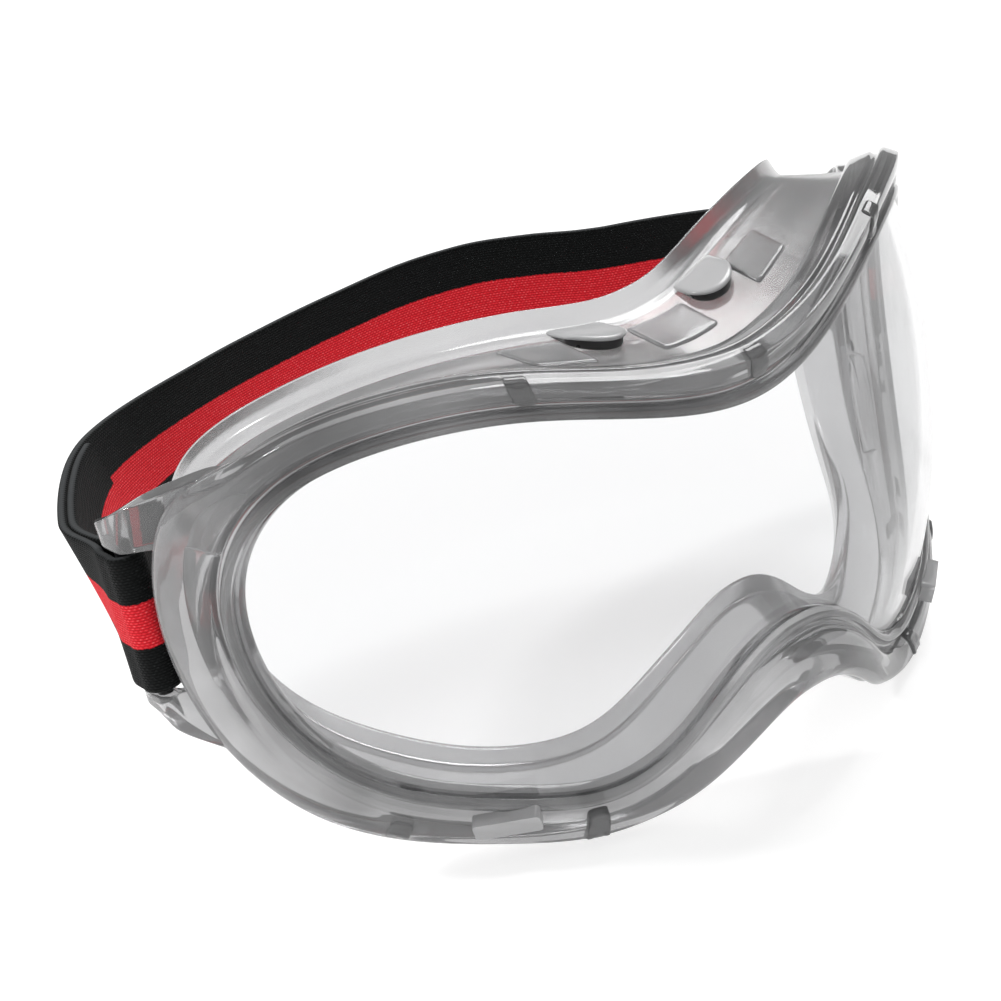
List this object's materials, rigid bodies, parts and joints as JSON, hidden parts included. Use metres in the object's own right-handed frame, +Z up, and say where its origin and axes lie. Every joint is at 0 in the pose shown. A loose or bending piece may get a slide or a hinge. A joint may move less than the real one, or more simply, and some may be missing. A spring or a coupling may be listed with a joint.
{
  "type": "sports protective goggles",
  "caption": "Wrap-round protective goggles: clear toric lens in a soft grey frame with a vented face skirt, strap lugs and an elastic head strap with a slider.",
  "frame": {"origin": "front apex of the toric front surface, on the goggles' centre plane, as they are held on a face", "axes": "+Z up, -Y forward out of the lens, +X towards the wearer's left"},
  "size_m": [0.1704, 0.1405, 0.088],
  "materials": {
    "frame_pvc": "soft, see-through smoke grey, satin",
    "skirt_pvc": "soft, see-through pale grey, satin",
    "lens_clear": "clear, polished polycarbonate",
    "insert_plastic": "pale grey, satin",
    "peg_plastic": "smoke grey, glossy",
    "bar_plastic": "black, moulded",
    "strap_webbing": "woven elastic, black with a red middle stripe",
    "thread": "black sewing thread",
    "slider_plastic": "black, moulded"
  },
  "bodies": {
    "goggles": {"front_frame": "frame_pvc", "face_skirt": "skirt_pvc", "lens": "lens_clear", "top_vent_hood_left": "skirt_pvc", "top_vent_hood_right": "skirt_pvc", "lower_insert_left": "insert_plastic", "lower_insert_right": "insert_plastic", "lens_peg_upper_left": "peg_plastic", "lens_peg_upper_centre": "peg_plastic", "lens_peg_upper_right": "peg_plastic", "lens_peg_lower_left_outer": "peg_plastic", "lens_peg_lower_left_inner": "peg_plastic", "lens_peg_lower_right_outer": "peg_plastic", "lens_peg_lower_right_inner": "peg_plastic", "strap_bar_left": "bar_plastic", "strap_bar_right": "bar_plastic"},
    "strap": {"strap_band": "strap_webbing", "strap_fold_right": "strap_webbing", "strap_loop_left": "strap_webbing", "strap_loop_right": "strap_webbing", "strap_stitching": "thread"},
    "slider": {"slider": "slider_plastic", "slider_loop": "strap_webbing"}
  },
  "joints": [
    {"name": "strap_rock", "type": "hinge", "parent": "goggles", "child": "strap", "pos_m": [0, 0.0755, -0.0073], "axis": [1, 0, 0], "range_deg": [-4, 4]},
    {"name": "slider_travel", "type": "hinge", "parent": "strap", "child": "slider", "pos_m": [0, 0.0534, -0.0073], "axis": [0, 0, 1], "range_deg": [0, 20]}
  ]
}
